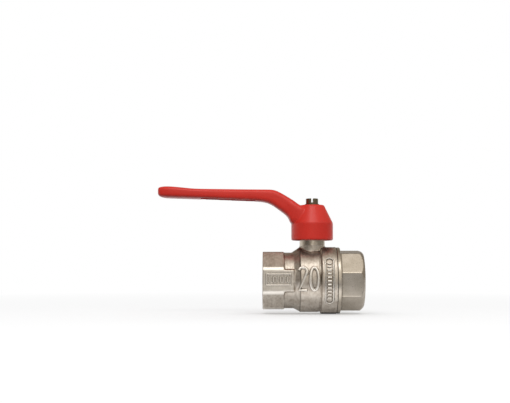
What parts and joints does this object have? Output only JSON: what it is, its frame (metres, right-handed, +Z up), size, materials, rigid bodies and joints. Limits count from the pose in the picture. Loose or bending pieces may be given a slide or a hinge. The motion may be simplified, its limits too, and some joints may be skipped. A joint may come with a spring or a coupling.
{
  "type": "quarter-turn ball valve",
  "caption": "Quarter-turn water shutoff valve: plated body with internal pipe threads at both ends, screwed-in end cap, ball on a stem and a long red lever with a bell-shaped hub.",
  "frame": {"origin": "centre of the inlet port's end face, on the pipe axis", "axes": "+X along the pipe from inlet to outlet, +Z up the stem towards the lever, +Y across to the back"},
  "size_m": [0.1122, 0.0362, 0.0694],
  "materials": {
    "nickel_plated_brass": "satin",
    "chromed_ball": "polished",
    "bare_brass": "satin",
    "white_ptfe": "satin",
    "black_rubber": "matte",
    "red_enamel": "satin",
    "passivated_steel": "satin"
  },
  "bodies": {
    "valve_body": {"body": "nickel_plated_brass", "end_cap": "nickel_plated_brass", "seat_ring_inlet": "white_ptfe", "seat_ring_outlet": "white_ptfe", "body_gasket": "white_ptfe", "stem_thrust_washer": "white_ptfe", "packing_ring_1": "white_ptfe", "packing_ring_2": "white_ptfe", "gland_nut": "bare_brass"},
    "lever": {"lever_handle": "red_enamel", "lever_washer": "passivated_steel", "lever_screw": "passivated_steel", "stem": "bare_brass", "stem_oring_lower": "black_rubber", "stem_oring_upper": "black_rubber"},
    "ball": {"ball": "chromed_ball"}
  },
  "joints": [
    {"name": "lever_turn", "type": "hinge", "parent": "valve_body", "child": "lever", "pos_m": [0.02711, 0, 0], "axis": [0, 0, 1], "range_deg": [-90, 0]},
    {"name": "ball_turn", "type": "hinge", "parent": "valve_body", "child": "ball", "pos_m": [0.02711, 0, 0], "axis": [0, 0, 1], "range_deg": [-90, 0]}
  ],
  "couplings": [
    {"joint": "ball_turn", "follows": "lever_turn", "ratio": 1}
  ]
}
